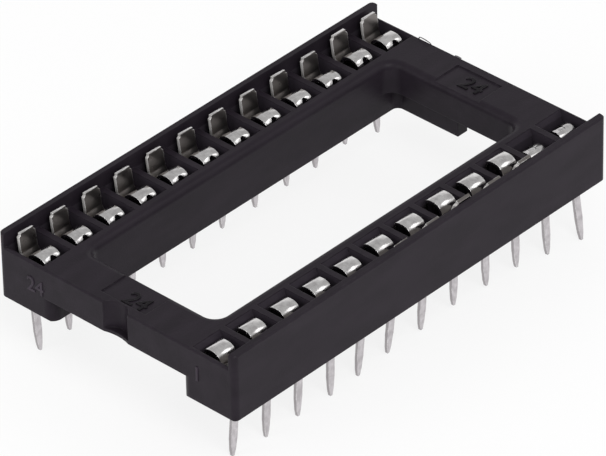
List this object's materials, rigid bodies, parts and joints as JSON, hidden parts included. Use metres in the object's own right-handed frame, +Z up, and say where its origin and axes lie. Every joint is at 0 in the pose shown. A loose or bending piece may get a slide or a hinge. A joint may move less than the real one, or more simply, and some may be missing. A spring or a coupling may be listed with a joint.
{
  "type": "ic socket",
  "caption": "Open-frame dual in-line socket for a wide integrated circuit: a black moulded frame with a polarity notch and stamped two-leaf contacts with solder tails.",
  "frame": {"origin": "middle of the socket at the tips of its solder tails, 3.4 mm below the undersides of the rails", "axes": "+X along the rails away from the crossbar with the polarity notch, +Y across towards the row of contacts 13 to 24, +Z up, out of the circuit board"},
  "size_m": [0.0304, 0.0178, 0.008],
  "materials": {
    "frame_plastic": "matte",
    "tinned_contact": "satin"
  },
  "bodies": {
    "root": {"housing": "frame_plastic", "contact_01": "tinned_contact", "contact_02": "tinned_contact", "contact_03": "tinned_contact", "contact_04": "tinned_contact", "contact_05": "tinned_contact", "contact_06": "tinned_contact", "contact_07": "tinned_contact", "contact_08": "tinned_contact", "contact_09": "tinned_contact", "contact_10": "tinned_contact", "contact_11": "tinned_contact", "contact_12": "tinned_contact", "contact_13": "tinned_contact", "contact_14": "tinned_contact", "contact_15": "tinned_contact", "contact_16": "tinned_contact", "contact_17": "tinned_contact", "contact_18": "tinned_contact", "contact_19": "tinned_contact", "contact_20": "tinned_contact", "contact_21": "tinned_contact", "contact_22": "tinned_contact", "contact_23": "tinned_contact", "contact_24": "tinned_contact"}
  },
  "joints": []
}
